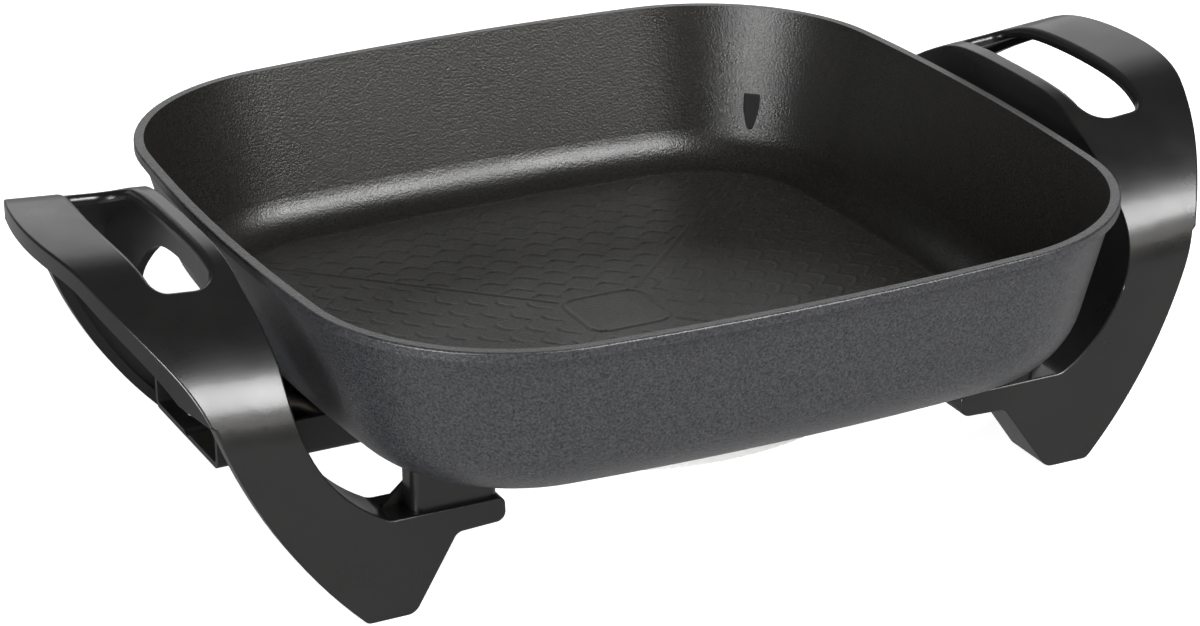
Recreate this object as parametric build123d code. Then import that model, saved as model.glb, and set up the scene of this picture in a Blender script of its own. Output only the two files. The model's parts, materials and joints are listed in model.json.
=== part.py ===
from build123d import *
import os
from math import atan2, cos, radians, sin, sqrt

# Square electric griddle (electric skillet): a deep cast pan with a bare aluminium heater plate
# under it, carried by two moulded arch handles whose legs are the feet. A socket for a plug-in
# temperature control hangs under the left side.
# Frame: millimetres, +Z up, origin on the worktop under the middle of the pan,
# +X to the right handle, -Y to the front, socket mouth facing -X.

# ---- driving dimensions: pan ----
PAN_HALF = 150.0          # half width over the rim
PAN_TOP = 106.0           # top of the rim above the worktop
PAN_UNDER = 44.0          # flat underside of the pan
PAN_FLOOR = 48.0          # cooking surface
SIDE_BOW = 910.0          # radius of the bowed sides, seen from above
CORNER = 75.0             # plan radius of the rim corners
RIM_LIP = 1.5             # overhang of the rim beyond the wall
RIM_DEPTH = 3.4           # height of the rim lip
RIM_WIDTH = 3.6           # width of the rim's flat top
WALL_DRAFT = 14.5         # degrees that the outer wall leans
WELL_DRAFT = 16.0         # degrees that the inner wall leans
OUTER_BELLY = 30.0        # radius from outer wall to underside
INNER_BELLY = 16.0        # radius from inner wall to cooking surface

# ---- driving dimensions: heater ----
PLATE_RADIUS = 92.0
PLATE_LOW = 28.0          # lowest face of the heater plate
PLATE_TOP = 41.0
PAD_RADIUS = 88.0         # raised pad of the pan that the plate is bonded to
LOOP_RADIUS = 70.0        # heating element loop
TUBE_RADIUS = 3.25
TUBE_Z = 36.0
LEG_BEND = 14.0           # plan radius where the element's legs leave the loop
PIN_SPACING = 37.0        # between the two terminal pins
PIN_Z = 47.5
PIN_TIP = -162.0
PIN_RADIUS = 2.4
SHANK_RADIUS = 2.0        # the pin where its insulator holds it
SHANK_START = -143.5
LEG_END = -136.0          # where the element's legs meet the pins
PROBE_Z = 37.2
PROBE_OUTER = 3.7
PROBE_BORE = 3.0
PROBE_MOUTH = -142.0
PROBE_END = -25.0

# ---- driving dimensions: socket ----
MOUTH_X = -162.5
SHROUD_BACK = -138.0
SHROUD_HALF = 30.0
SHROUD_LOW = 33.0
SHROUD_HIGH = 55.5
SHROUD_WALL = 2.0
TRAY_HALF = 27.0
TRAY_END = -97.0
TRAY_LOW = 30.0
TRAY_HIGH = 43.8

# ---- driving dimensions: handle, drawn on the +X side ----
GRIP_X = 213.6            # outermost point of the grip
GRIP_Z = 117.5            # highest point of the grip
GRIP_BOW = 145.0          # plan radius of the outer edge
BAND_TILT = 0.081         # rise of the band per mm outwards
SKIN = 4.0                # wall of the band
FLANGE = 3.5              # wall of the edge strips
SKIRT = 6.5               # height of the outer edge strip
EDGE_ROUND = 0.8          # outer edges of the band and legs
HOLE_ROUND = 2.2          # edge of the finger hole
HOLE_HALF = 47.0          # half length of the finger hole
HANDLE_SCREW_X = 102.0
HANDLE_SCREW_Y = 84.5
FAR = 260.0               # longer than anything that it cuts


def save(name, *solids):
    shape = solids[0] if len(solids) == 1 else Compound(children=list(solids))
    shape.label = name
    export_step(shape, os.path.join("parts", name + ".step"))
    print(name, len(shape.solids()), "solid(s)", round(shape.volume), "mm3")


def one(shape):
    """The single solid in a boolean result."""
    found = sorted(shape.solids(), key=lambda s: s.volume)
    return found[-1]


def cylinder_z(radius, low, high, x=0.0, y=0.0):
    disc = Plane.XY.offset(low) * Pos(x, y) * Circle(radius)
    return extrude(disc, amount=high - low)


def cylinder_x(radius, start, end, y, z):
    disc = Plane.YZ.offset(start) * Pos(y, z) * Circle(radius)
    return extrude(disc, amount=end - start)


def block(x0, x1, y0, y1, z0, z1):
    size = Box(x1 - x0, y1 - y0, z1 - z0)
    return Pos((x0 + x1) / 2, (y0 + y1) / 2, (z0 + z1) / 2) * size


# ---------------------------------------------------------------- pan
def bowed_square(half, corner):
    """A square with gently bowed sides and round corners."""
    centre = half - SIDE_BOW
    tip = (centre + sqrt(centre**2 - 2 * (centre**2 - SIDE_BOW**2))) / 2
    side = ThreePointArc((tip, -tip), (half, 0), (tip, tip))
    sides = [Rot(0, 0, 90 * k) * side for k in range(4)]
    face = make_face(Curve() + sides)
    return fillet(face.vertices(), corner)


def tapered(half, corner, top, low, draft, belly):
    """A tub-shaped solid that narrows downwards, with a rounded lower edge."""
    rim = Plane.XY.offset(top) * bowed_square(half, corner)
    tub = extrude(rim, amount=low - top, taper=draft)
    return fillet(tub.edges().group_by(Axis.Z)[0], belly)


def pan_envelope():
    return tapered(PAN_HALF - RIM_LIP, CORNER - RIM_LIP, PAN_TOP, PAN_UNDER, WALL_DRAFT, OUTER_BELLY)


def pan_rim():
    outer = Plane.XY.offset(PAN_TOP - RIM_DEPTH) * bowed_square(PAN_HALF, CORNER)
    lip = extrude(outer, amount=RIM_DEPTH)
    return fillet(lip.edges().group_by(Axis.Z)[-1], 0.8)


def pan_boss(x, y, radius, low, bore, depth):
    boss = cylinder_z(radius, low, PAN_UNDER + 1.5, x, y)
    return boss, cylinder_z(bore, low - 1, low + depth, x, y)


HANDLE_BOSS = (4.0, 36.0, 2.05, 9.5)      # radius, low face, bore, bore depth
TRAY_BOSS = (4.0, 34.0, 1.55, 8.0)
EARTH_BOSS = (3.5, 38.5, 1.55, 5.5)
TRAY_SCREW_X = -103.0
EARTH_SCREW_X = -115.0
SMALL_SCREW_Y = 9.5


def pan_bosses():
    """Tapped bosses cast under the pan, as (solid, bore) pairs."""
    pairs = []
    for x in (-HANDLE_SCREW_X, HANDLE_SCREW_X):
        for y in (-HANDLE_SCREW_Y, HANDLE_SCREW_Y):
            pairs.append(pan_boss(x, y, *HANDLE_BOSS))
    for y in (-SMALL_SCREW_Y, SMALL_SCREW_Y):
        pairs.append(pan_boss(TRAY_SCREW_X, y, *TRAY_BOSS))
    pairs.append(pan_boss(EARTH_SCREW_X, SMALL_SCREW_Y, *EARTH_BOSS))
    return pairs


def make_pan(envelope):
    well_half = PAN_HALF - RIM_WIDTH
    well = tapered(well_half, CORNER - RIM_WIDTH, PAN_TOP, PAN_FLOOR, WELL_DRAFT, INNER_BELLY)
    body = envelope + pan_rim() + cylinder_z(PAD_RADIUS, PLATE_TOP, PAN_UNDER + 1)
    for boss, bore in pan_bosses():
        body = body + boss
    for boss, bore in pan_bosses():
        body = body - bore
    return one(body - well)


# ---------------------------------------------------------------- heater
def make_heater_plate(element, probe):
    plate = cylinder_z(PLATE_RADIUS, PLATE_LOW, PLATE_TOP)
    plate = fillet(plate.edges().group_by(Axis.Z)[0], 1.2)
    plate = plate - cylinder_z(56.0, PLATE_LOW - 1, 31.5)
    groove = cylinder_z(86.0, PLATE_LOW - 1, PLATE_LOW + 0.6) - cylinder_z(84.0, PLATE_LOW - 1, PLATE_LOW + 1)
    return one(plate - groove - element - probe)


def element_path():
    """Socket end, up and over to the plate's level, once round the loop, and back."""
    y = PIN_SPACING / 2
    bend_y = y + LEG_BEND
    bend_x = -sqrt((LOOP_RADIUS + LEG_BEND) ** 2 - bend_y**2)
    keep = LOOP_RADIUS / (LOOP_RADIUS + LEG_BEND)
    join = (bend_x * keep, bend_y * keep)
    swing = atan2(-bend_y, -bend_x)
    mid = (-radians(90) + swing) / 2
    half_way = (bend_x + LEG_BEND * cos(mid), bend_y + LEG_BEND * sin(mid))
    edges = []
    for s in (1, -1):
        edges.append(FilletPolyline((LEG_END, s * y, PIN_Z), (LEG_END + 5, s * y, PIN_Z),
                                    (LEG_END + 19, s * y, TUBE_Z), (bend_x, s * y, TUBE_Z), radius=9))
        edges.append(ThreePointArc((bend_x, s * y, TUBE_Z), (half_way[0], s * half_way[1], TUBE_Z),
                                   (join[0], s * join[1], TUBE_Z)))
    loop = ThreePointArc((join[0], join[1], TUBE_Z), (LOOP_RADIUS, 0, TUBE_Z), (join[0], -join[1], TUBE_Z))
    return edges, loop


def make_element():
    legs, loop = element_path()
    path = Curve() + [legs[0], legs[1], loop, legs[3], legs[2]]
    y = PIN_SPACING / 2
    start = Plane(origin=(LEG_END, y, PIN_Z), z_dir=(1, 0, 0))
    return one(sweep(start * Circle(TUBE_RADIUS), path=path))


def make_pin(y):
    shaft = cylinder_x(PIN_RADIUS, PIN_TIP, SHANK_START, y, PIN_Z)
    tip = shaft.faces().sort_by(Axis.X)[0].edges()
    return one(fillet(tip, PIN_RADIUS * 0.75) + cylinder_x(SHANK_RADIUS, SHANK_START, LEG_END, y, PIN_Z))


def make_insulator(y):
    body = cylinder_x(5.5, SHANK_START + 1.5, LEG_END - 1, y, PIN_Z)
    body = body + cylinder_x(4.2, SHANK_START, LEG_END, y, PIN_Z)
    return one(body - cylinder_x(SHANK_RADIUS, SHANK_START - 5, LEG_END + 5, y, PIN_Z))


def probe_solid():
    return cylinder_x(PROBE_OUTER, PROBE_MOUTH, PROBE_END, 0, PROBE_Z)


def make_probe_tube():
    """A blind tube, open towards the socket."""
    return one(probe_solid() - cylinder_x(PROBE_BORE, PROBE_MOUTH - 5, PROBE_END - 2, 0, PROBE_Z))


# ---------------------------------------------------------------- socket
def make_shroud():
    wall = SHROUD_WALL
    shell = block(MOUTH_X, SHROUD_BACK, -SHROUD_HALF, SHROUD_HALF, SHROUD_LOW, SHROUD_HIGH)
    shell = fillet(shell.edges().filter_by(Axis.X), 3.0)
    inside = block(MOUTH_X - 5, SHROUD_BACK - wall, -SHROUD_HALF + wall, SHROUD_HALF - wall,
                   SHROUD_LOW + wall, SHROUD_HIGH - wall)
    inside = fillet(inside.edges().filter_by(Axis.X), 1.5)
    shell = shell - inside
    for y in (-PIN_SPACING / 2, PIN_SPACING / 2):
        shell = shell - cylinder_x(5.5, -150, -130, y, PIN_Z)
    shell = shell - cylinder_x(PROBE_OUTER, PROBE_MOUTH, -130, 0, PROBE_Z)
    guide = cylinder_x(PROBE_BORE + 0.3, MOUTH_X - 5, PROBE_MOUTH, 0, PROBE_Z)
    shell = shell - guide
    slot = block(-150, -130, 5.6, 12.9, 37.4, 38.8)
    return one(shell - slot)


def make_tray():
    wall = SHROUD_WALL
    tray = block(SHROUD_BACK, TRAY_END, -TRAY_HALF, TRAY_HALF, TRAY_LOW, TRAY_HIGH)
    tray = fillet(tray.edges().filter_by(Axis.X).group_by(Axis.Z)[0], 3.0)
    inside = block(SHROUD_BACK - 5, TRAY_END + 5, -TRAY_HALF + wall, TRAY_HALF - wall,
                   TRAY_LOW + wall, TRAY_HIGH + 5)
    tray = tray - inside
    for y in (-SMALL_SCREW_Y, SMALL_SCREW_Y):
        tray = tray + cylinder_z(4.0, TRAY_LOW + 1, TRAY_BOSS[1], TRAY_SCREW_X, y)
        tray = tray - cylinder_z(1.7, TRAY_LOW - 1, TRAY_BOSS[1] + 1, TRAY_SCREW_X, y)
    return one(tray)


def screw(x, y, head_radius, head_low, head_high, shank, tip):
    """A pan-head screw from below, with a cross recess in its head."""
    head = cylinder_z(head_radius, head_low, head_high, x, y)
    head = fillet(head.edges().group_by(Axis.Z)[0], (head_high - head_low) * 0.45)
    arm = head_radius * 0.55
    cross = block(x - arm, x + arm, y - 0.45, y + 0.45, head_low - 1, head_low + 1.1)
    cross = cross + block(x - 0.45, x + 0.45, y - arm, y + arm, head_low - 1, head_low + 1.1)
    return one(head + cylinder_z(shank, head_high, tip, x, y) - cross)


def washer(x, y, outer, inner, low, high):
    return one(cylinder_z(outer, low, high, x, y) - cylinder_z(inner, low - 1, high + 1, x, y))


def lock_washer(x, y, outer, inner, low, high):
    ring = washer(x, y, outer, inner, low, high)
    split = block(x, x + outer + 1, y - 0.4, y + 0.4, low - 1, high + 1)
    return one(ring - split)


def make_earth_strap():
    low, high = EARTH_BOSS[1] - 0.8, EARTH_BOSS[1]
    strap = block(-159.0, EARTH_SCREW_X + 5, 6.0, 12.6, low, high)
    strap = fillet(strap.edges().filter_by(Axis.Z), 1.5)
    return one(strap - cylinder_z(1.7, low - 1, high + 1, EARTH_SCREW_X, SMALL_SCREW_Y))


def make_rating_plate():
    return one(cylinder_z(24.0, 30.9, 31.5))


# ---------------------------------------------------------------- handles
def arch_face(depth):
    """The handle's side profile, front to back, moved in from its outer surface by a depth."""
    lean = 0.09
    knee = (-90.6 + depth, 66.0)
    flank = (-79.5 + 0.76 * depth, 91.0 - 0.65 * depth)
    shoulder = (-48.5 + 0.34 * depth, 110.6 - 0.94 * depth)
    crown = (0, GRIP_Z - depth)
    foot = (knee[0] - 8.0, -30.0)
    rising = Line(foot, knee)
    rounding = Spline([knee, flank, shoulder, crown], tangents=[(lean, 1), (1, 0)])
    half = Curve() + [rising, rounding]
    other = mirror(half, Plane.YZ)
    base = Line((-foot[0], foot[1]), foot)
    return make_face(Curve() + [half, other, base])


def sheared(face):
    """Extrude a side profile outwards along the band's tilt."""
    start = 60.0
    down = BAND_TILT * (GRIP_X - start)
    placed = Plane.YZ.offset(start) * Pos(0, -down) * face
    return extrude(placed, amount=FAR, dir=(1, 0, BAND_TILT))


def ring(depth):
    """The zone within a depth of the arch's outer surface."""
    inner = arch_face(depth)
    return sheared(arch_face(0)) - sheared(inner + Pos(0, -20) * inner)


def throat():
    """The space under the arch, between the legs."""
    rising = Line((-76.0, -40.0), (-73.0, 42.0))
    crown = Spline([(-73.0, 42.0), (-61.0, 66.0), (-44.0, 81.0), (0, 97.5)], tangents=[(0.06, 1), (1, 0)])
    half = Curve() + [rising, crown]
    base = Line((76.0, -40.0), (-76.0, -40.0))
    face = make_face(Curve() + [half, mirror(half, Plane.YZ), base])
    return extrude(Plane.YZ * face, amount=FAR)


def front_outline(inset):
    """The handle seen from the front: leg, arm and band, up to above the grip."""
    heel, toe, armpit = (137.2, 0), (120.5, 0), (104.0, 24.6)
    arm_low, arm_high, crook = (86.5, 25.2), (86.5, 33.5), (127.0, 33.8)
    hip, knee = (183.0, 75.0), (156.8, 88.0)
    outer = ThreePointArc(heel, (163.2, 32.0), hip)
    up = Polyline(hip, (228.0, 112.0), (228.0, 150.0), (160.4, 150.0), knee)
    inner = ThreePointArc(knee, (147.6, 52.0), crook)
    arm = Polyline(crook, arm_high, arm_low, armpit, toe, heel)
    face = make_face(Curve() + [outer, up, inner, arm])
    if inset:
        return offset(face, amount=-inset)
    rounds = ((crook, 7.0), (arm_high, 2.5), (arm_low, 3.5), (armpit, 4.0), (toe, 5.0), (heel, 3.0))
    for corner, radius in rounds:
        nearest = face.vertices().sort_by_distance((corner[0], corner[1], 0))[0]
        face = fillet([nearest], radius)
    return face


def through_y(face):
    return extrude(Plane.XZ * face, amount=FAR / 2, both=True)


def plan_disc(inset):
    radius = GRIP_BOW - inset
    centre = GRIP_X - GRIP_BOW
    return cylinder_z(radius, -10, 140, centre, 0)


def finger_hole():
    near, far, bulge = 165.4, 186.2, 189.6
    sides = Polyline((far, HOLE_HALF), (near, HOLE_HALF), (near, -HOLE_HALF), (far, -HOLE_HALF))
    curve = ThreePointArc((far, -HOLE_HALF), (bulge, 0), (far, HOLE_HALF))
    face = make_face(Curve() + [sides, curve])
    pan_side = [v for v in face.vertices() if v.X < near + 1]
    face = fillet(pan_side, 9.0)
    grip_side = [v for v in face.vertices() if v.X > far - 1 and abs(v.Y) > HOLE_HALF - 1]
    face = fillet(grip_side, 5.0)
    return extrude(Plane.XY.offset(70) * face, amount=60)


def along_band(edge):
    """True for an edge that runs straight outwards along the band, where two arch faces meet."""
    lean = edge.tangent_at(0.5)
    return abs(lean.Y) < 0.02 and abs(lean.Z - BAND_TILT * lean.X) < 0.02


def edges_on(solid, crust):
    """Edges of a solid that lie on the arch's outer surface."""
    found = []
    for edge in solid.edges():
        ends = [Vertex(*edge.position_at(t)) for t in (0.1, 0.5)]
        on_arch = all(min(face.distance_to(end) for face in crust) < 0.01 for end in ends)
        if on_arch and not along_band(edge):
            found.append(edge)
    return found


def rounded_hulk():
    """The handle as if it were solid: its outer shape with the finger hole and rounded top edges."""
    arch = sheared(arch_face(0))
    crust = [f for f in arch.faces() if abs(f.normal_at().X) < 0.9 and f.center().Z > -20]
    hulk = through_y(front_outline(0)) & plan_disc(0) & arch
    hulk = fillet(edges_on(hulk, crust), EDGE_ROUND)
    hulk = hulk - finger_hole()
    lip = [e for e in edges_on(hulk, crust) if 164 < e.center().X < 191 and abs(e.center().Y) < HOLE_HALF + 1]
    return fillet(lip, HOLE_ROUND)


def support_block(envelope, side):
    """The post on an arm that carries a corner of the pan, with its gusset."""
    front, back = -90.5, -78.5
    post = block(88.0, 118.0, front, back, 30.0, 52.0)
    post = fillet(post.edges().filter_by(Axis.Z), 3.5)
    rib_line = Polyline((117.0, 31.0), (125.5, 31.0), (125.5, 34.2), (117.0, 41.5), close=True)
    rib = extrude(Plane.XZ.offset(80.0) * make_face(rib_line), amount=2.0)
    shape = post + rib - envelope
    return shape if side < 0 else mirror(shape, Plane.XZ)


def screw_cuts(y):
    """Socket for the pan's boss, clearance for the shank, and recess for the head."""
    x = HANDLE_SCREW_X
    boss = cylinder_z(4.2, HANDLE_BOSS[1] - 0.2, 60, x, y)
    shank = cylinder_z(2.4, 20, 40, x, y)
    head = cylinder_z(4.8, 20, 29.5, x, y)
    return boss + shank + head


def make_right_handle(envelope):
    outline = through_y(front_outline(0))
    whole = outline & plan_disc(0)
    strip = outline - through_y(front_outline(FLANGE))
    rim_strip = plan_disc(0) - plan_disc(FLANGE)
    inboard_line = Polyline((60, -5), (139, -5), (139, 4), (165, 60), (165, 135), (60, 135), close=True)
    inboard = through_y(make_face(inboard_line))
    skin = whole & ring(SKIN)
    skirt_zone = ring(SKIRT)
    deep_zone = sheared(arch_face(0)) - throat()
    inner_flange = whole & strip & inboard & deep_zone
    arms = whole & deep_zone & block(60, 121, -120, 120, -5, 60)
    outer_flange = whole & strip & skirt_zone
    skirt = whole & rim_strip & skirt_zone
    body = skin + inner_flange + arms + outer_flange + skirt
    body = body & rounded_hulk()
    for side in (-1, 1):
        body = body + support_block(envelope, side)
    for y in (-HANDLE_SCREW_Y, HANDLE_SCREW_Y):
        body = body - screw_cuts(y)
    return one(body)


def handle_fasteners(x):
    """Screws, spring washers and flat washers of one handle."""
    screws, springs, flats = [], [], []
    for y in (-HANDLE_SCREW_Y, HANDLE_SCREW_Y):
        screws.append(screw(x, y, 4.0, 25.2, 27.7, 2.0, 44.5))
        springs.append(lock_washer(x, y, 3.8, 2.1, 27.7, 28.7))
        flats.append(washer(x, y, 4.5, 2.2, 28.7, 29.5))
    return screws, springs, flats


# ---------------------------------------------------------------- build
os.makedirs("parts", exist_ok=True)
envelope = pan_envelope()
element = make_element()
save("pan", make_pan(envelope))
save("heater_plate", make_heater_plate(element, probe_solid()))
save("heating_element", element)
save("probe_tube", make_probe_tube())
save("terminal_pin_front", make_pin(-PIN_SPACING / 2))
save("terminal_pin_back", make_pin(PIN_SPACING / 2))
save("insulator_front", make_insulator(-PIN_SPACING / 2))
save("insulator_back", make_insulator(PIN_SPACING / 2))
save("socket_shroud", make_shroud())
save("terminal_tray", make_tray())
save("tray_screws", *[screw(TRAY_SCREW_X, y, 3.4, 28.0, TRAY_LOW, 1.5, 41.0)
                      for y in (-SMALL_SCREW_Y, SMALL_SCREW_Y)])
save("earth_strap", make_earth_strap())
save("earth_screw", screw(EARTH_SCREW_X, SMALL_SCREW_Y, 3.0, 35.7, 37.7, 1.5, 43.0))
save("rating_plate", make_rating_plate())

right_handle = make_right_handle(envelope)
save("right_handle", right_handle)
save("left_handle", one(mirror(right_handle, Plane.YZ)))
for name, x in (("left", -HANDLE_SCREW_X), ("right", HANDLE_SCREW_X)):
    screws, springs, flats = handle_fasteners(x)
    save(name + "_handle_screws", *screws)
    save(name + "_spring_washers", *springs)
    save(name + "_flat_washers", *flats)
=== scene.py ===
# %% [markdown]
# # An electric griddle
# This lesson dresses a square electric griddle: a deep pan with a speckled non-stick coating, two glossy
# moulded handles that are also its feet, and a bare aluminium heater plate underneath. The solid parts come
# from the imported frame. Here they get their finishes, and the thin relief that a cooking surface has is
# modelled on top of them.

# %% Load the frame
import json
import bmesh
import bpy
from math import cos, floor, hypot, pi, radians, sin, sqrt
from mathutils import Matrix, Vector
from mathutils.bvhtree import BVHTree


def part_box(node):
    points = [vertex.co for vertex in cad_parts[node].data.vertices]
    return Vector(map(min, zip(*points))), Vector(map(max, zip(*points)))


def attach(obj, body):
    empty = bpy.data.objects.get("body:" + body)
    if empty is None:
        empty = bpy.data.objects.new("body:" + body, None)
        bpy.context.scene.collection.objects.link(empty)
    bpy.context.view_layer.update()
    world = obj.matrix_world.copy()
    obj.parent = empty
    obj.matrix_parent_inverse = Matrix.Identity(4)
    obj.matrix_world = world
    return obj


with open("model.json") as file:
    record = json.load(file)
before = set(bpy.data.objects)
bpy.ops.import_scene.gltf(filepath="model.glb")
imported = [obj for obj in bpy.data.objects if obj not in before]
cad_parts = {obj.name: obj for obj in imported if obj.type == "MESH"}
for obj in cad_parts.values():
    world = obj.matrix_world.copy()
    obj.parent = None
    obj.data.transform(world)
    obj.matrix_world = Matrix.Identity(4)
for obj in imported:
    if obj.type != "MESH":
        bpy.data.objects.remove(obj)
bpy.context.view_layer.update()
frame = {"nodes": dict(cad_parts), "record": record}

node = frame["nodes"]

# %% [markdown]
# ## Places on the object
# Everything that is added sits on the pan, so its rim and its cooking surface are measured first. The frame
# says where the pan is; the record's mount says how high the cooking surface lies.

# %% Measure the pan
pan_low, pan_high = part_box("pan")
PAN_HALF = (pan_high[0] - pan_low[0]) / 2
RIM_Z = pan_high[2]
mounts = {m["name"]: m for m in frame["record"]["mounts"]}
FLOOR_Z = mounts["cooking_surface"]["pos_m"][2]
print("rim half width", round(PAN_HALF, 4), "rim height", round(RIM_Z, 4), "floor height", FLOOR_Z)

# %% [markdown]
# ## A small kit for shaders
# A material is a graph of nodes. Three helpers keep the graphs short: one adds a node and sets its sockets,
# one starts a material with its Principled shader, and one starts a node group, which is a graph that
# several materials share.

# %% Shader helpers
def add(tree, kind, settings=None, **sockets):
    """Add a node, set its properties, and set or link its input sockets by name."""
    made = tree.nodes.new("ShaderNode" + kind)
    for name, value in (settings or {}).items():
        setattr(made, name, value)
    for name, value in sockets.items():
        socket = made.inputs[int(name[1:])] if name[0] == "i" and name[1:].isdigit() else \
            made.inputs[name.replace("_", " ")]
        if isinstance(value, bpy.types.NodeSocket):
            tree.links.new(value, socket)
        else:
            socket.default_value = value
    return made


def start_material(name, **constants):
    """A material with a Principled shader whose plain values are set on its own sockets."""
    material = bpy.data.materials.new(name)
    material.use_nodes = True
    tree = material.node_tree
    shader = tree.nodes["Principled BSDF"]
    for socket, value in constants.items():
        shader.inputs[socket.replace("_", " ")].default_value = value
    return material, tree, shader


def start_group(name, inputs, outputs):
    """A node group with named number inputs and named outputs."""
    group = bpy.data.node_groups.new(name, "ShaderNodeTree")
    for label, default in inputs:
        socket = group.interface.new_socket(label, in_out="INPUT", socket_type="NodeSocketFloat")
        socket.default_value = default
    for label, kind in outputs:
        group.interface.new_socket(label, in_out="OUTPUT", socket_type=kind)
    return group, group.nodes.new("NodeGroupInput"), group.nodes.new("NodeGroupOutput")


def use_group(tree, group, **values):
    """Place a node group and set its inputs by name."""
    made = tree.nodes.new("ShaderNodeGroup")
    made.node_tree = group
    for name, value in values.items():
        made.inputs[name.replace("_", " ")].default_value = value
    return made


def bump_into(tree, shader, height, strength, distance):
    """Tilt a shader's normal by a height."""
    bump = add(tree, "Bump", Height=height, Strength=strength, Distance=distance)
    tree.links.new(bump.outputs["Normal"], shader.inputs["Normal"])


print("shader helpers ready")

# %% [markdown]
# ## Grain and wear, shared by every finish
# Cast, moulded and rolled surfaces all have two things in common: a fine grain that catches the light, and
# slow, cloudy changes in how polished they are. One group gives the grain as a height and a speck mask, and
# another gives a cloudy roughness. Both read Object coordinates, so they stay put on the object.

# %% Grain group
grain, grain_in, grain_out = start_group(
    "grain", [("Size", 900.0), ("Speck", 0.5)],
    [("Height", "NodeSocketFloat"), ("Specks", "NodeSocketFloat")])
place = add(grain, "TexCoord")
fine = add(grain, "TexNoise", Vector=place.outputs["Object"], Detail=3.0, Roughness=0.6,
           Scale=grain_in.outputs["Size"])
cells = add(grain, "TexVoronoi", Vector=place.outputs["Object"], Scale=grain_in.outputs["Size"])
rare = add(grain, "Math", {"operation": "GREATER_THAN"}, i0=cells.outputs["Color"],
           i1=grain_in.outputs["Speck"])
close = add(grain, "MapRange", Value=cells.outputs["Distance"], From_Min=0.35, From_Max=0.12)
speck = add(grain, "Math", {"operation": "MULTIPLY"}, i0=rare.outputs[0], i1=close.outputs[0])
grain.links.new(fine.outputs["Fac"], grain_out.inputs["Height"])
grain.links.new(speck.outputs[0], grain_out.inputs["Specks"])
print("group", grain.name)

# %% Cloudy roughness group
cloud, cloud_in, cloud_out = start_group(
    "cloudy", [("Size", 30.0), ("Low", 0.3), ("High", 0.4)],
    [("Roughness", "NodeSocketFloat"), ("Cloud", "NodeSocketFloat")])
place = add(cloud, "TexCoord")
drift = add(cloud, "TexNoise", Vector=place.outputs["Object"], Detail=4.0, Roughness=0.55,
            Scale=cloud_in.outputs["Size"])
band = add(cloud, "MapRange", Value=drift.outputs["Fac"], From_Min=0.3, From_Max=0.7,
           To_Min=cloud_in.outputs["Low"], To_Max=cloud_in.outputs["High"])
cloud.links.new(band.outputs[0], cloud_out.inputs["Roughness"])
cloud.links.new(drift.outputs["Fac"], cloud_out.inputs["Cloud"])
print("group", cloud.name)

# %% Machining group
turned, turned_in, turned_out = start_group(
    "turned", [("Pitch", 1500.0)], [("Height", "NodeSocketFloat")])
place = add(turned, "TexCoord")
split = add(turned, "SeparateXYZ", Vector=place.outputs["Object"])
flat = add(turned, "CombineXYZ", X=split.outputs["X"], Y=split.outputs["Y"])
radius = add(turned, "VectorMath", {"operation": "LENGTH"}, i0=flat.outputs[0])
phase = add(turned, "Math", {"operation": "MULTIPLY"}, i0=radius.outputs["Value"],
            i1=turned_in.outputs["Pitch"])
ridge = add(turned, "Math", {"operation": "SINE"}, i0=phase.outputs[0])
turned.links.new(ridge.outputs[0], turned_out.inputs["Height"])
print("group", turned.name)

# %% Painted rim highlight band group
# A mask of heights just round the rim's top, broken up by noise; it places a painted highlight on the rim.
rim_highlight_band, rim_highlight_band_in, rim_highlight_band_out = start_group(
    "painted_rim_highlight_band", [("Low", 0.0), ("High", 1.0), ("Ragged", 0.5), ("Size", 200.0)],
    [("Mask", "NodeSocketFloat")])
place = add(rim_highlight_band, "TexCoord")
split = add(rim_highlight_band, "SeparateXYZ", Vector=place.outputs["Object"])
rise = add(rim_highlight_band, "MapRange", {"interpolation_type": "SMOOTHSTEP"}, Value=split.outputs["Z"],
           From_Min=rim_highlight_band_in.outputs["Low"], From_Max=rim_highlight_band_in.outputs["High"])
ragged_noise = add(rim_highlight_band, "TexNoise", Vector=place.outputs["Object"], Detail=3.0, Scale=rim_highlight_band_in.outputs["Size"])
ragged_cut = add(rim_highlight_band, "Math", {"operation": "MULTIPLY"}, i0=ragged_noise.outputs["Fac"], i1=rim_highlight_band_in.outputs["Ragged"])
keep = add(rim_highlight_band, "Math", {"operation": "SUBTRACT", "use_clamp": True}, i0=rise.outputs[0], i1=ragged_cut.outputs[0])
rim_highlight_band.links.new(keep.outputs[0], rim_highlight_band_out.inputs["Mask"])
print("group", rim_highlight_band.name)

# %% Outside group
outward, outward_in, outward_out = start_group("outside", [], [("Outside", "NodeSocketFloat")])
place = add(outward, "TexCoord")
facing = add(outward, "NewGeometry")
flat = add(outward, "VectorMath", {"operation": "MULTIPLY"}, i0=place.outputs["Object"])
flat.inputs[1].default_value = (1, 1, 0)
ray = add(outward, "VectorMath", {"operation": "NORMALIZE"}, i0=flat.outputs[0])
lean = add(outward, "VectorMath", {"operation": "DOT_PRODUCT"}, i0=facing.outputs["Normal"],
           i1=ray.outputs[0])
side = add(outward, "MapRange", Value=lean.outputs["Value"], From_Min=-0.1, From_Max=0.1)
outward.links.new(side.outputs[0], outward_out.inputs["Outside"])
print("group", outward.name)

# %% [markdown]
# ## The pan's coating
# The coating is a charcoal fluoropolymer sprayed over a blasted casting, so it has a satin sheen, a leathery
# grain about a millimetre across, and a scatter of mica flecks. Its outside is tinted bluer, and its inside
# darker and warmer; that warmth is painted warm light. The fine grain drives both the colour and a bump, and
# a paler, partly metallic band along the rim's top edge is a painted highlight, broken up by noise.

# %% Coating material
# Paler colour of a thin band along the rim's top edge: a painted highlight.
PAINTED_RIM_HIGHLIGHT = (0.13, 0.13, 0.13, 1)
RIM_FADE = 0.0004


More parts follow.
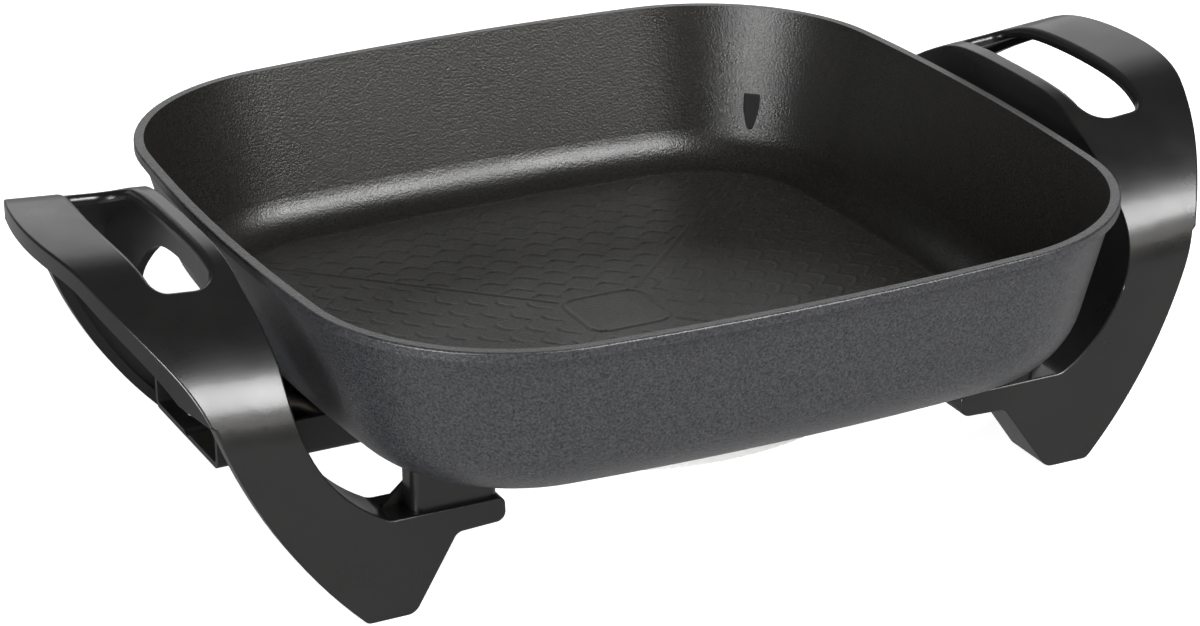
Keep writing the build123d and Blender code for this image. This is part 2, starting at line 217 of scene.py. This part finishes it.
def coating(name, outside, inside, fleck, rough_low, rough_high, bump):
    material, tree, shader = start_material(name, IOR=1.5)
    leather = use_group(tree, grain, Size=1150.0, Speck=0.8)
    mica = use_group(tree, grain, Size=2300.0, Speck=0.62)
    patches = use_group(tree, cloud, Size=24.0, Low=rough_low, High=rough_high)
    where = use_group(tree, outward)
    # Mask of the painted highlight along the rim's top edge.
    rim = use_group(tree, rim_highlight_band, Low=RIM_Z - RIM_FADE, High=RIM_Z + RIM_FADE, Ragged=0.55, Size=420.0)
    # Outward faces get the bluer outside tint and inner faces the darker, warmer inside tint; that warmth is
    # painted warm light.
    tint = add(tree, "MixRGB", Fac=where.outputs["Outside"], Color1=inside, Color2=outside)
    contrast = add(tree, "MapRange", Value=leather.outputs["Height"], From_Min=0.32, From_Max=0.68,
                   To_Min=0.35, To_Max=1.9)
    mottled = add(tree, "VectorMath", {"operation": "SCALE"}, i0=tint.outputs[0], Scale=contrast.outputs[0])
    dots = add(tree, "MixRGB", Fac=mica.outputs["Specks"], Color1=mottled.outputs[0], Color2=fleck)
    # The painted rim highlight goes into the colour, and the same mask makes the band metallic.
    rim_with_painted_highlight = add(tree, "MixRGB", Fac=rim.outputs["Mask"], Color1=dots.outputs[0], Color2=PAINTED_RIM_HIGHLIGHT)
    shine = add(tree, "Math", {"operation": "MAXIMUM"}, i0=mica.outputs["Specks"], i1=rim.outputs["Mask"])
    tree.links.new(rim_with_painted_highlight.outputs[0], shader.inputs["Base Color"])
    tree.links.new(shine.outputs[0], shader.inputs["Metallic"])
    tree.links.new(patches.outputs["Roughness"], shader.inputs["Roughness"])
    bump_into(tree, shader, leather.outputs["Height"], bump, 0.0005)
    return material


# Bluer outside tint, then the darker, warmer inside tint, whose warmth is painted warm light.
pan_finish = coating("pan_coating", (0.0190, 0.0195, 0.0215, 1), (0.0080, 0.0074, 0.0068, 1),
                     (0.10, 0.092, 0.082, 1), 0.26, 0.34, 0.40)
floor_finish = coating("cooking_coating", (0.0120, 0.0114, 0.0107, 1), (0.0120, 0.0114, 0.0107, 1),
                       (0.20, 0.185, 0.165, 1), 0.33, 0.42, 0.35)
print("coatings", pan_finish.name, floor_finish.name)

# %% [markdown]
# ## The handles' phenolic
# The handles are compression-moulded phenolic: black, hard and glossy, with the faint ripple of a polished
# mould and a slightly duller bloom in patches. A plain black at low roughness would look like glass, so the
# ripple and the bloom matter more than the colour.

# %% Phenolic and socket materials
def moulded(name, dark, pale, rough_low, rough_high, ripple_size, bump, coat):
    material, tree, shader = start_material(name, Metallic=0.0, IOR=1.52, Coat_Roughness=0.08)
    shader.inputs["Coat Weight"].default_value = coat
    ripple = use_group(tree, grain, Size=ripple_size, Speck=0.9)
    bloom = use_group(tree, cloud, Size=35.0, Low=rough_low, High=rough_high)
    base = add(tree, "MixRGB", Fac=bloom.outputs["Cloud"], Color1=dark, Color2=pale)
    tree.links.new(base.outputs[0], shader.inputs["Base Color"])
    tree.links.new(bloom.outputs["Roughness"], shader.inputs["Roughness"])
    bump_into(tree, shader, ripple.outputs["Height"], bump, 0.0003)
    return material


phenolic = moulded("handle_phenolic", (0.0035, 0.0033, 0.0032, 1), (0.0065, 0.0062, 0.0060, 1),
                   0.26, 0.34, 1400.0, 0.10, 0.08)
socket_black = moulded("socket_black", (0.005, 0.005, 0.005, 1), (0.009, 0.009, 0.009, 1),
                       0.38, 0.52, 1800.0, 0.25, 0.0)
print("mouldings", phenolic.name, socket_black.name)

# %% [markdown]
# ## Bare metals and ceramic
# The heater plate is turned on a lathe, so its bump is a fine set of rings. Its oxide dulls it, so it is only
# partly metallic and picks up the pale floor. The element's sheath has been hot, so it is browned in patches.
# Fasteners and pins are plated, and the insulators are unglazed steatite.

# %% Metal and ceramic materials
def metal(name, clean, stained, rough_low, rough_high, grain_size=1200.0, bump=0.1, rings=0.0, patch=40.0,
          metallic=1.0):
    material, tree, shader = start_material(name, Metallic=metallic)
    scratch = use_group(tree, grain, Size=grain_size, Speck=0.8)
    patches = use_group(tree, cloud, Size=patch, Low=rough_low, High=rough_high)
    base = add(tree, "MixRGB", Fac=patches.outputs["Cloud"], Color1=clean, Color2=stained)
    tree.links.new(base.outputs[0], shader.inputs["Base Color"])
    tree.links.new(patches.outputs["Roughness"], shader.inputs["Roughness"])
    height = scratch.outputs["Height"]
    if rings:
        lathe = use_group(tree, turned, Pitch=rings)
        height = add(tree, "Math", {"operation": "MULTIPLY_ADD"}, i0=lathe.outputs["Height"], i1=0.5,
                     i2=scratch.outputs["Height"]).outputs[0]
    bump_into(tree, shader, height, bump, 0.0002)
    return material


aluminium = metal("bare_aluminium", (0.80, 0.80, 0.79, 1), (0.70, 0.70, 0.69, 1), 0.24, 0.36, 900.0, 0.22,
                  rings=6500.0, metallic=0.45)
sheath = metal("element_sheath", (0.36, 0.34, 0.31, 1), (0.20, 0.15, 0.11, 1), 0.34, 0.5, 1500.0, 0.2)
plating = metal("pin_metal", (0.86, 0.86, 0.84, 1), (0.76, 0.75, 0.72, 1), 0.08, 0.16, 700.0, 0.04)
zinc = metal("fastener_steel", (0.68, 0.68, 0.66, 1), (0.52, 0.52, 0.48, 1), 0.24, 0.38, 1400.0, 0.12)
spring_steel = metal("strap_steel", (0.72, 0.71, 0.68, 1), (0.60, 0.58, 0.54, 1), 0.2, 0.32, 1600.0, 0.12)
foil = metal("rating_foil", (0.66, 0.67, 0.68, 1), (0.56, 0.57, 0.58, 1), 0.34, 0.46, 2200.0, 0.1)


def steatite():
    material, tree, shader = start_material("insulator_ceramic", Metallic=0.0, IOR=1.55)
    chalk = use_group(tree, grain, Size=2200.0, Speck=0.75)
    patches = use_group(tree, cloud, Size=220.0, Low=0.5, High=0.7)
    base = add(tree, "MixRGB", Fac=patches.outputs["Cloud"], Color1=(0.80, 0.77, 0.70, 1),
               Color2=(0.66, 0.61, 0.52, 1))
    tree.links.new(base.outputs[0], shader.inputs["Base Color"])
    tree.links.new(patches.outputs["Roughness"], shader.inputs["Roughness"])
    bump_into(tree, shader, chalk.outputs["Height"], 0.2, 0.0002)
    return material


ceramic = steatite()
print("metals and ceramic ready")

# %% [markdown]
# ## Dressing the CAD nodes
# Every CAD node keeps its shape and takes the finish of its material slot in the record.

# %% Assign finishes by slot
finish_of = {"pan_coating": pan_finish, "bare_aluminium": aluminium, "element_sheath": sheath,
             "pin_metal": plating, "insulator_ceramic": ceramic, "handle_phenolic": phenolic,
             "socket_black": socket_black, "fastener_steel": zinc, "strap_steel": spring_steel,
             "rating_foil": foil}
for part in frame["record"]["subparts"]:
    piece = node[part["node"]]
    piece.data.materials.clear()
    piece.data.materials.append(finish_of[part["material_slot"]])

# %% [markdown]
# ## The relief on the cooking surface
# The floor of the pan is pressed with a pattern that lifts the food off the metal: rows of shallow scales in
# four sectors that follow the four sides, a plain rounded panel in the middle, a rib from the panel to each
# corner, and one fine rib all round. It could be a bump in the material, but real relief catches the light at
# its edges, so a fine sheet of mesh is laid on the floor and lifted where the ribs are.

# %% The height of the relief
SHEET_HALF = 0.1185
ROW_PITCH = 0.0092
SCALE_WIDTH = 0.0125
SCALLOP = 0.0024
RIB_HALF = 0.00065
RIB_HEIGHT = 0.00055
BORDER = 0.1165
SIDE_BOW = 0.88
CORNER_ROUND = 0.036
PANEL_HALF = 0.0155
PANEL_ROUND = 0.006
PANEL_MARGIN = 0.0025        # plain ground round the panel
SCALE_MARGIN = 0.004         # the same, before the first scale
BORDER_MARGIN = 0.006        # plain ground inside the border
DIAGONAL_MARGIN = 0.002      # plain ground beside a diagonal rib
DIAGONAL_LIFT = 0.8          # heights as shares of the border's
SCALE_LIFT = 0.75


def rounded_square(x, y, half, corner, bow=0.0):
    """Signed distance to a square with round corners and, if asked, bowed sides; inside is negative."""
    if bow:
        x, y = abs(x) + y * y / (2 * bow), abs(y) + x * x / (2 * bow)
    dx, dy = abs(x) - (half - corner), abs(y) - (half - corner)
    return hypot(max(dx, 0), max(dy, 0)) + min(max(dx, dy), 0) - corner


def rib(distance):
    """A smooth ridge, one at the middle and nought beyond its half width."""
    t = min(abs(distance) / RIB_HALF, 1.0)
    return (1 - t * t) ** 2


def scales(x, y):
    """Rows of scallops parallel to the nearest side; every second row is shifted by half a scale."""
    across, along = (abs(x), y) if abs(x) > abs(y) else (abs(y), x)
    lift = 0.0
    row = floor(across / ROW_PITCH)
    for near in (row - 1, row, row + 1):
        shift = 0.5 * (near % 2)
        swing = (along / SCALE_WIDTH + shift) % 1.0
        crest = (near + 0.5) * ROW_PITCH + SCALLOP * (sin(pi * swing) - 0.5) * 2
        lift = max(lift, rib(across - crest))
    return lift


def relief(x, y):
    """Height of the relief over the plain floor, from nought to one."""
    edge = rounded_square(x, y, BORDER, CORNER_ROUND, SIDE_BOW)
    panel = rounded_square(x, y, PANEL_HALF, PANEL_ROUND)
    diagonal = (abs(x) - abs(y)) / sqrt(2)
    lift = max(rib(edge), rib(panel))
    if panel > PANEL_MARGIN and edge < -BORDER_MARGIN:
        lift = max(lift, DIAGONAL_LIFT * rib(diagonal))
        if abs(diagonal) > DIAGONAL_MARGIN and panel > SCALE_MARGIN:
            lift = max(lift, SCALE_LIFT * scales(x, y))
    return lift


print("rows of scales from panel to border:", int((BORDER - PANEL_HALF) / ROW_PITCH))

# %% Lay the sheet and lift its ribs
GRID_STEPS = 300
CLEAR = 0.00004
SINK = 0.00006
SHEET_ROUND = CORNER_ROUND + 0.002
SHEET_TRIM = 0.0002


def finished(name, shape, body, material):
    """Turn a bmesh into a piece at the world's origin, with its body and finish."""
    mesh = bpy.data.meshes.new(name)
    shape.to_mesh(mesh)
    shape.free()
    piece = bpy.data.objects.new(name, mesh)
    bpy.context.scene.collection.objects.link(piece)
    mesh.materials.append(material)
    for face in mesh.polygons:
        face.use_smooth = True
    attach(piece, body)
    print(name, len(mesh.polygons), "faces")


def cooking_relief():
    """A grid over the pan's floor, cut to its outline, with lifted ribs and a sunken edge."""
    shape = bmesh.new()
    bmesh.ops.create_grid(shape, x_segments=GRID_STEPS, y_segments=GRID_STEPS, size=SHEET_HALF)
    outside = [v for v in shape.verts
               if rounded_square(v.co.x, v.co.y, SHEET_HALF, SHEET_ROUND, SIDE_BOW) > -SHEET_TRIM]
    bmesh.ops.delete(shape, geom=outside, context="VERTS")
    for v in shape.verts:
        v.co.z = FLOOR_Z + CLEAR + RIB_HEIGHT * relief(v.co.x, v.co.y)
    rim = [e for e in shape.edges if e.is_boundary]
    for v in {v for e in rim for v in e.verts}:
        v.co.z = FLOOR_Z - SINK
    return shape


finished("cooking_surface", cooking_relief(), "root", floor_finish)

# %% [markdown]
# ## The mark in the corner
# One corner of the pan's inner wall carries a small dark shield with a flat top, just above the floor. Its
# near-black colour is partly the mark's own dark tone and partly painted shade, standing in for the shade in
# a shallow recess. It is a thin piece that follows the wall, so a flat grid is bent on to the wall: each of
# its points is sent outwards along the corner's diagonal until it meets the pan.

# %% Shield-shaped mark
MARK_TOP = FLOOR_Z + 0.0262
MARK_TIP = FLOOR_Z + 0.0120
MARK_HALF = 0.0038
MARK_ASIDE = 0.0010
MARK_SHOULDER = 0.62         # share of its height over which it widens
MARK_PROUD = 0.00025
MARK_BURIED = 0.0004
SAME_POINT = 0.00002


def corner_mark():
    """A small grid, narrowed to a rounded tip and bent on to the corner of the wall."""
    wall = BVHTree.FromObject(node["pan"], bpy.context.evaluated_depsgraph_get())
    outward_way = Vector((1, 1, 0)).normalized()
    sideways = Vector((1, -1, 0)).normalized()
    shape = bmesh.new()
    bmesh.ops.create_grid(shape, x_segments=10, y_segments=24, size=1.0)
    edge = {v for e in shape.edges if e.is_boundary for v in e.verts}
    for v in shape.verts:
        up = (v.co.y + 1) / 2
        half = MARK_HALF * min(1.0, (up / MARK_SHOULDER) ** 0.5)
        height = MARK_TIP + up * (MARK_TOP - MARK_TIP)
        start = sideways * (v.co.x * half + MARK_ASIDE) + Vector((0, 0, height))
        hit = wall.ray_cast(start, outward_way)
        depth = -MARK_BURIED if v in edge else MARK_PROUD
        v.co = hit[0] + hit[1] * (depth if hit[1].dot(outward_way) < 0 else -depth)
    bmesh.ops.remove_doubles(shape, verts=shape.verts, dist=SAME_POINT)
    bmesh.ops.recalc_face_normals(shape, faces=shape.faces)
    if sum((f.normal for f in shape.faces), Vector()).dot(outward_way) > 0:
        bmesh.ops.reverse_faces(shape, faces=shape.faces)
    return shape


# Near-black and matte: partly the mark's own colour, partly painted shade of a shallow recess.
mark_black = moulded("mark_black", (0.002, 0.002, 0.002, 1), (0.004, 0.004, 0.004, 1),
                     0.80, 0.95, 1500.0, 0.15, 0.0)
finished("corner_mark", corner_mark(), "root", mark_black)

# %% [markdown]
# ## Floor, light and camera
# A black glossy object shows its lights as shapes, so the lights are large and soft. The key light stands in
# front and above, where the shoulders of the legs mirror it. A weak one below it reaches the inner walls, one
# on the left lights the far corner of the pan, and a wide panel behind gives the grips and the cooking
# surface their sheen. The floor is a pale light table. In the gloss of the black parts a white floor would
# wash out the coating, so a Light Path node shows it darker to glossy rays.

# %% Pale floor
WHITE_PAPER = (0.8, 0.8, 0.8, 1)
MIRRORED_PAPER = (0.20, 0.20, 0.20, 1)
FLOOR_HALF = 6.0
FLOOR_DROP = 0.0002


def pale_floor():
    """A wide sheet of bright paper just under the feet."""
    shape = bmesh.new()
    bmesh.ops.create_grid(shape, x_segments=1, y_segments=1, size=FLOOR_HALF)
    bmesh.ops.translate(shape, verts=shape.verts, vec=(0, 0, -FLOOR_DROP))
    mesh = bpy.data.meshes.new("studio_floor")
    shape.to_mesh(mesh)
    shape.free()
    ground = bpy.data.objects.new("studio_floor", mesh)
    bpy.context.scene.collection.objects.link(ground)
    material, tree, shader = start_material("studio_paper", Roughness=0.9)
    rays = add(tree, "LightPath")
    paper = add(tree, "MixRGB", Fac=rays.outputs["Is Glossy Ray"], Color1=WHITE_PAPER, Color2=MIRRORED_PAPER)
    for socket in ("Base Color", "Emission Color"):
        tree.links.new(paper.outputs[0], shader.inputs[socket])
    shader.inputs["Emission Strength"].default_value = 1.0
    mesh.materials.append(material)


pale_floor()

world = bpy.data.worlds.new("studio")
bpy.context.scene.world = world
world.use_nodes = True
backdrop = world.node_tree.nodes["Background"]
rays = add(world.node_tree, "LightPath")
glow = add(world.node_tree, "MixRGB", Fac=rays.outputs["Is Camera Ray"], Color1=(0.10, 0.10, 0.10, 1),
           Color2=(1, 1, 1, 1))
world.node_tree.links.new(glow.outputs[0], backdrop.inputs["Color"])
print("floor and backdrop ready")


# %% Soft lights
def soft_light(name, place, aim, width, height, power, tint=(1, 1, 1)):
    """A rectangular area light that looks at a point."""
    lamp = bpy.data.lights.new(name, "AREA")
    lamp.shape = "RECTANGLE"
    lamp.size = width
    lamp.size_y = height
    lamp.energy = power
    lamp.color = tint
    holder = bpy.data.objects.new(name, lamp)
    holder.location = place
    holder.rotation_euler = (Vector(aim) - Vector(place)).to_track_quat("-Z", "Y").to_euler()
    bpy.context.scene.collection.objects.link(holder)


middle = (0, 0, RIM_Z / 2)
soft_light("key_front_top", (0.70, -1.35, 1.50), middle, 1.0, 1.0, 64)
soft_light("front_low", (0.95, -2.1, 0.80), middle, 1.2, 0.4, 5, (1.0, 0.97, 0.92))
soft_light("back_panel", (1.0, 2.4, 0.90), middle, 3.2, 1.1, 13)
soft_light("side_left", (-1.8, -0.9, 0.42), middle, 0.9, 0.8, 44)
print("four soft lights")

# %% Camera
CAMERA_YAW, CAMERA_PITCH, CAMERA_ROLL = radians(25.96), radians(22.86), radians(-0.67)
CAMERA_DISTANCE = 1.279
CAMERA_AIM = Vector((-0.0159, -0.0215, 0.058))
ahead = Vector((sin(CAMERA_YAW) * cos(CAMERA_PITCH), cos(CAMERA_YAW) * cos(CAMERA_PITCH), -sin(CAMERA_PITCH)))
level = Vector((cos(CAMERA_YAW), -sin(CAMERA_YAW), 0))
above = level.cross(ahead)
across = cos(CAMERA_ROLL) * level + sin(CAMERA_ROLL) * above
upward = cos(CAMERA_ROLL) * above - sin(CAMERA_ROLL) * level
lens = bpy.data.cameras.new("camera")
lens.sensor_width = 36.0
lens.lens = 110.67
lens.shift_x = -0.0025
camera = bpy.data.objects.new("camera", lens)
camera.matrix_world = Matrix.Translation(CAMERA_AIM - CAMERA_DISTANCE * ahead) @ \
    Matrix((across, upward, -ahead)).transposed().to_4x4()
bpy.context.scene.collection.objects.link(camera)
bpy.context.scene.camera = camera
bpy.context.scene.view_settings.view_transform = "Standard"
print("camera at", [round(c, 3) for c in camera.matrix_world.translation])
